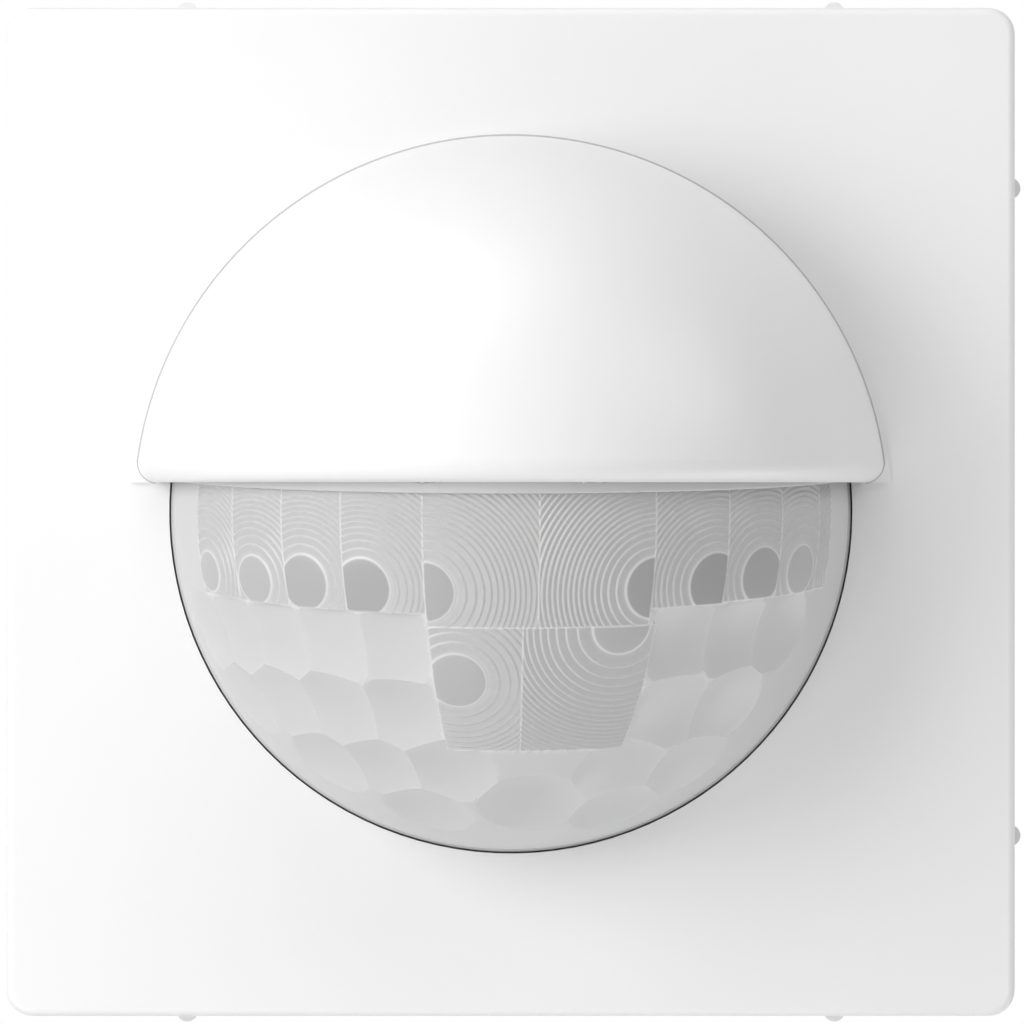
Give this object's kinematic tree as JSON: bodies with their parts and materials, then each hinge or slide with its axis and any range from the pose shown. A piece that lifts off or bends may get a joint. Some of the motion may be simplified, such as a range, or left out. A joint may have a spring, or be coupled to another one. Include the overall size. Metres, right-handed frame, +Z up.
{
  "type": "presence detector",
  "caption": "Flush wall presence detector: square centre plate, half-dome hood over a faceted lens dome, support ring with claws and a round insert for a wall box.",
  "frame": {"origin": "centre of the wall plane, the rear face of the support ring, behind the middle of the plate", "axes": "+Z up, +X right as seen from the room, +Y into the wall; the room is on the -Y side"},
  "size_m": [0.0712, 0.068, 0.0712],
  "materials": {
    "white_plastic": "satin",
    "lens_plastic": "satin",
    "seal_rubber": "matte",
    "module_plastic": "matte",
    "insert_plastic": "matte",
    "board": "satin",
    "steel": "satin",
    "can_metal": "satin",
    "filter_glass": "gloss",
    "dial_plastic": "satin",
    "clear_plastic": "gloss",
    "black_plastic": "satin",
    "blue_plastic": "satin",
    "yellow_plastic": "satin",
    "copper": "satin",
    "brass": "satin"
  },
  "bodies": {
    "root": {"lens": "lens_plastic", "lens_seal": "seal_rubber", "module_front": "module_plastic", "module_back": "module_plastic", "module_screws": "steel", "sensor_pcb": "board", "sensor_bracket": "black_plastic", "pyro_left": "can_metal", "pyro_right": "can_metal", "pyro_window_left": "filter_glass", "pyro_window_right": "filter_glass", "light_sensor": "clear_plastic", "status_led": "clear_plastic", "light_guide": "clear_plastic", "range_trimmer": "blue_plastic", "lux_trimmer": "blue_plastic", "time_trimmer": "blue_plastic", "module_plug": "black_plastic", "plug_pins": "brass", "insert_socket": "black_plastic", "support_ring": "steel", "ring_screws": "steel", "insert_front": "insert_plastic", "insert_housing": "insert_plastic", "power_pcb": "board", "relay": "black_plastic", "suppression_capacitor": "yellow_plastic", "smoothing_capacitor": "can_metal", "varistor": "blue_plastic", "choke": "copper", "fuse": "black_plastic", "bridge_rectifier": "black_plastic", "terminal_block": "insert_plastic", "terminal_screws": "steel", "terminal_bars": "brass"},
    "cover": {"cover_plate": "white_plastic", "hood": "white_plastic"},
    "range_dial": {"range_dial": "dial_plastic"},
    "lux_dial": {"lux_dial": "dial_plastic"},
    "time_dial": {"time_dial": "dial_plastic"},
    "claw_left": {"claw_left": "steel"},
    "claw_right": {"claw_right": "steel"},
    "claw_screw_left": {"claw_screw_left": "steel"},
    "claw_screw_right": {"claw_screw_right": "steel"}
  },
  "joints": [
    {"name": "cover_pull", "type": "slide", "parent": "root", "child": "cover", "axis": [0, -1, 0], "range_m": [0, 0.045]},
    {"name": "range_turn", "type": "hinge", "parent": "root", "child": "range_dial", "pos_m": [-0.023, -0.0089, -0.023], "axis": [0, 1, 0], "range_deg": [-135, 135]},
    {"name": "lux_turn", "type": "hinge", "parent": "root", "child": "lux_dial", "pos_m": [0.023, -0.0089, 0.023], "axis": [0, 1, 0], "range_deg": [-135, 135]},
    {"name": "time_turn", "type": "hinge", "parent": "root", "child": "time_dial", "pos_m": [0.023, -0.0089, -0.023], "axis": [0, 1, 0], "range_deg": [-135, 135]},
    {"name": "claw_screw_left_turn", "type": "hinge", "parent": "root", "child": "claw_screw_left", "pos_m": [-0.0223, 0, 0], "axis": [0, 1, 0], "range_deg": [0, 1440]},
    {"name": "claw_left_swing", "type": "hinge", "parent": "root", "child": "claw_left", "pos_m": [-0.0247, -0.0005, 0], "axis": [0, 0, 1], "range_deg": [0, 14]},
    {"name": "claw_screw_right_turn", "type": "hinge", "parent": "root", "child": "claw_screw_right", "pos_m": [0.0223, 0, 0], "axis": [0, 1, 0], "range_deg": [0, 1440]},
    {"name": "claw_right_swing", "type": "hinge", "parent": "root", "child": "claw_right", "pos_m": [0.0247, -0.0005, 0], "axis": [0, 0, -1], "range_deg": [0, 14]}
  ],
  "couplings": [
    {"joint": "claw_left_swing", "follows": "claw_screw_left_turn", "ratio": 0.0097},
    {"joint": "claw_right_swing", "follows": "claw_screw_right_turn", "ratio": 0.0097}
  ]
}
